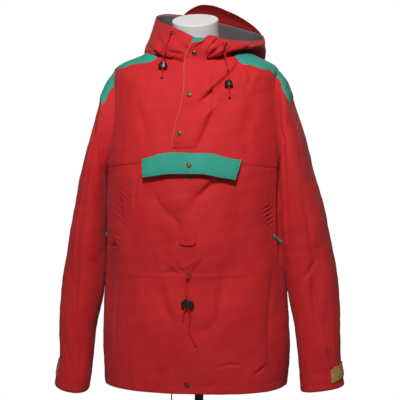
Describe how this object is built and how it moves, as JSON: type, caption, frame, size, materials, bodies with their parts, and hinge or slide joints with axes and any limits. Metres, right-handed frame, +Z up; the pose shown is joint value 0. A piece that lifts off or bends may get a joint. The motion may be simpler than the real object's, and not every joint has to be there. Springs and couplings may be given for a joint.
{
  "type": "anorak pullover on a limbless dress form",
  "caption": "Hooded pullover anorak with a snap placket, chest pouch pocket, drawcords and contrasting shoulders, worn by a limbless torso form on a pole and round base.",
  "frame": {"origin": "middle of the base plate's underside, on the floor", "axes": "+Z up, -Y the way the garment's front faces, +X the wearer's left"},
  "size_m": [0.6575, 0.3753, 0.9678],
  "materials": {
    "red_cloth": "plain woven nylon and cotton shell, matte",
    "green_cloth": "plain woven nylon and cotton shell, matte",
    "grey_knit": "brushed knit, matte",
    "tan_leather": "smooth tan leather",
    "white_form": "satin white",
    "brass": "antique brass",
    "black_plastic": "glossy black",
    "black_metal": "matte black paint"
  },
  "bodies": {
    "root": {"back": "red_cloth", "badge": "red_cloth", "cuff_tab_left": "tan_leather", "cuff_tab_right": "tan_leather", "eyelet_hood_left": "brass", "eyelet_hood_right": "brass", "eyelet_waist": "brass", "form_torso": "white_form", "front_lower": "red_cloth", "front_yoke": "red_cloth", "hem_cord": "red_cloth", "hood_centre": "red_cloth", "hood_cord_left": "red_cloth", "hood_cord_right": "red_cloth", "hood_left": "red_cloth", "hood_lining_centre": "grey_knit", "hood_lining_left": "grey_knit", "hood_lining_right": "grey_knit", "hood_lock_left": "black_plastic", "hood_lock_right": "black_plastic", "hood_peak": "red_cloth", "hood_right": "red_cloth", "neck_facing": "green_cloth", "placket": "red_cloth", "pocket_flap": "green_cloth", "pocket_welt_left": "green_cloth", "pocket_welt_right": "green_cloth", "pouch_pocket": "red_cloth", "shoulder_panel_left": "green_cloth", "shoulder_panel_right": "green_cloth", "sleeve_head_left": "green_cloth", "sleeve_head_right": "green_cloth", "sleeve_left_back": "red_cloth", "sleeve_left_front": "red_cloth", "sleeve_right_back": "red_cloth", "sleeve_right_front": "red_cloth", "snap_flap": "brass", "snap_hem": "brass", "snap_placket_1": "brass", "snap_placket_2": "brass", "snap_placket_3": "brass", "stand_base": "black_metal", "stand_pole": "black_metal", "stud_flap": "brass", "waist_cord_long": "red_cloth", "waist_cord_short": "red_cloth", "waist_lock": "black_plastic"}
  },
  "joints": []
}
